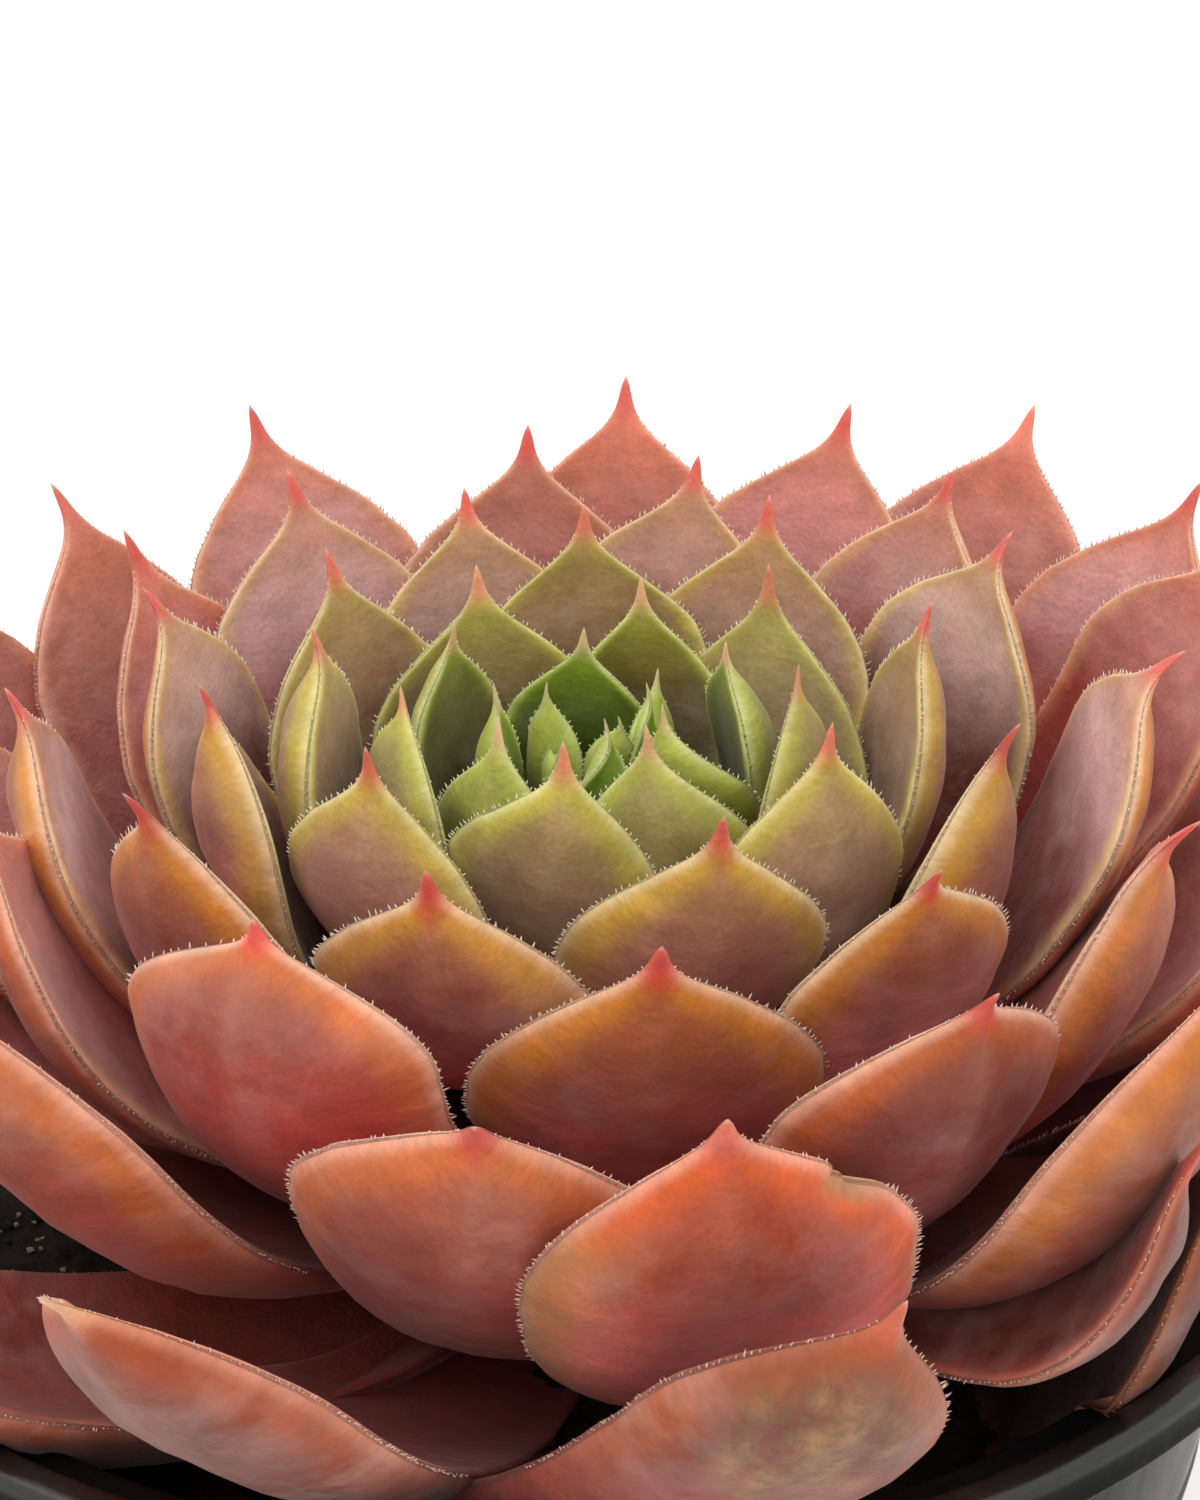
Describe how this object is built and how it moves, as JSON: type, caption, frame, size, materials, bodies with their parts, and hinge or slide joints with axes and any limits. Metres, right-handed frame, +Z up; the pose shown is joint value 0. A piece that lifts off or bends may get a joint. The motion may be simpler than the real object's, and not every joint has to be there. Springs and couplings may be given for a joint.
{
  "type": "potted houseleek",
  "caption": "Houseleek rosette of overlapping pointed succulent leaves, rooted in potting mix in a round plastic nursery pot that stands on its flat base.",
  "frame": {"origin": "centre of the pot's flat base, on the surface the pot stands on", "axes": "+Z up along the pot's axis, -Y towards the viewer of the picture, +X to the viewer's right"},
  "size_m": [0.1219, 0.1255, 0.1223],
  "materials": {
    "pot": "satin black moulded plastic",
    "soil": "matt crumbly peat potting mix",
    "heart_leaf": "soft satin leaf skin, bright green",
    "inner_leaf": "soft satin leaf skin, olive to mauve",
    "outer_leaf": "soft satin leaf skin, brick rose to orange"
  },
  "bodies": {
    "root": {"pot": "pot", "soil": "soil", "crown": "heart_leaf", "leaf_19": "inner_leaf", "leaf_20": "inner_leaf", "leaf_21": "inner_leaf", "leaf_22": "inner_leaf", "leaf_23": "inner_leaf", "leaf_24": "inner_leaf", "leaf_25": "inner_leaf", "leaf_26": "inner_leaf", "leaf_27": "inner_leaf", "leaf_28": "inner_leaf", "leaf_29": "inner_leaf", "leaf_30": "inner_leaf", "leaf_31": "inner_leaf", "leaf_32": "inner_leaf", "leaf_33": "inner_leaf", "leaf_34": "inner_leaf", "leaf_35": "inner_leaf", "leaf_36": "outer_leaf", "leaf_37": "outer_leaf", "leaf_38": "outer_leaf", "leaf_39": "outer_leaf", "leaf_40": "outer_leaf", "leaf_41": "outer_leaf", "leaf_42": "outer_leaf", "leaf_43": "outer_leaf", "leaf_44": "outer_leaf", "leaf_45": "outer_leaf", "leaf_46": "outer_leaf", "leaf_47": "outer_leaf", "leaf_48": "outer_leaf", "leaf_49": "outer_leaf", "leaf_50": "outer_leaf", "leaf_51": "outer_leaf", "leaf_52": "outer_leaf", "leaf_53": "outer_leaf", "leaf_54": "outer_leaf", "leaf_55": "outer_leaf", "leaf_56": "outer_leaf", "leaf_57": "outer_leaf", "leaf_58": "outer_leaf", "leaf_59": "outer_leaf", "leaf_60": "outer_leaf", "leaf_61": "outer_leaf", "leaf_62": "outer_leaf", "leaf_63": "outer_leaf", "leaf_64": "outer_leaf", "leaf_65": "outer_leaf", "leaf_66": "outer_leaf", "leaf_67": "outer_leaf", "leaf_68": "outer_leaf", "leaf_69": "outer_leaf", "leaf_71": "outer_leaf", "leaf_74": "outer_leaf", "leaf_77": "outer_leaf"}
  },
  "joints": []
}
